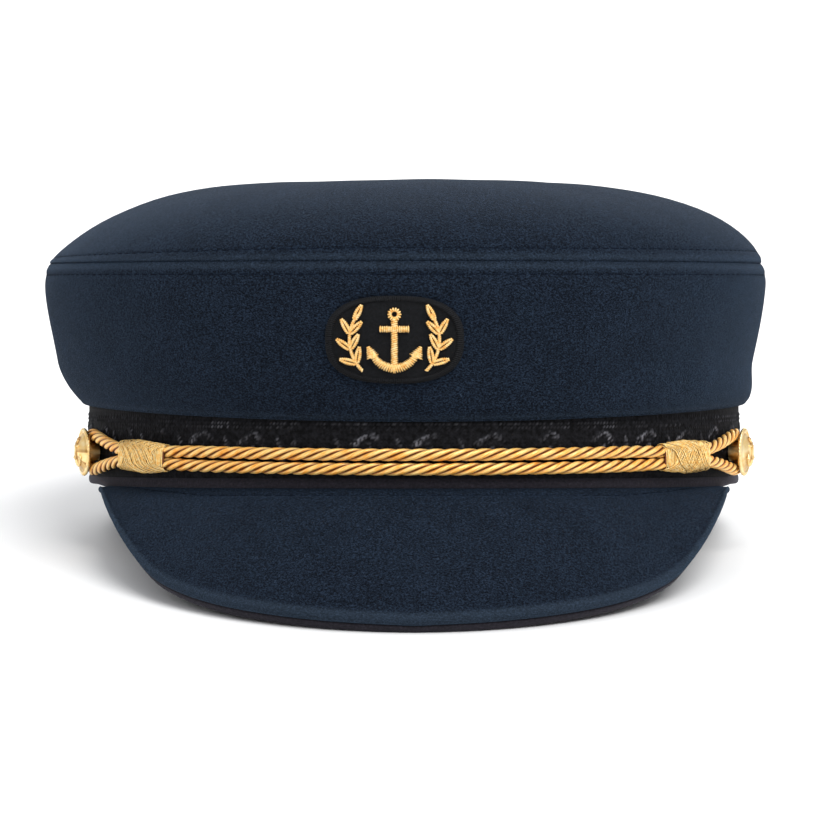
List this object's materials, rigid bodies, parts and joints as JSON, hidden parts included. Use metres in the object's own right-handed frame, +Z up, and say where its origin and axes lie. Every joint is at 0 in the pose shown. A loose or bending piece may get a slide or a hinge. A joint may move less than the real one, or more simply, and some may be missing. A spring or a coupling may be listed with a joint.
{
  "type": "captain hat",
  "caption": "Captain hat with a soft rounded crown, braided head band, cloth peak, looped gold cord with side buttons and an anchor badge, lying on its rim and peak.",
  "frame": {"origin": "middle of the hat's box, on the surface that it lies on", "axes": "+Z up, -Y to the front where the peak is, +X to the wearer's left"},
  "size_m": [0.1912, 0.26, 0.0981],
  "materials": {
    "navy_wool": "brushed wool cloth",
    "charcoal_cloth": "plain cloth",
    "black_braid": "woven braid",
    "gold_cord": "twisted metallic cord",
    "gilt_brass": "cast and gilded",
    "black_felt": "felt",
    "gold_thread": "metal thread embroidery"
  },
  "bodies": {
    "root": {"crown_tip": "navy_wool", "crown_side": "navy_wool", "band": "charcoal_cloth", "band_braid": "black_braid", "peak": "navy_wool", "peak_binding": "charcoal_cloth", "cord_loop": "gold_cord", "knot_left": "gold_cord", "knot_right": "gold_cord", "button_left": "gilt_brass", "button_right": "gilt_brass", "badge_patch": "black_felt", "badge_anchor": "gold_thread", "badge_sprig_left": "gold_thread", "badge_sprig_right": "gold_thread"}
  },
  "joints": []
}
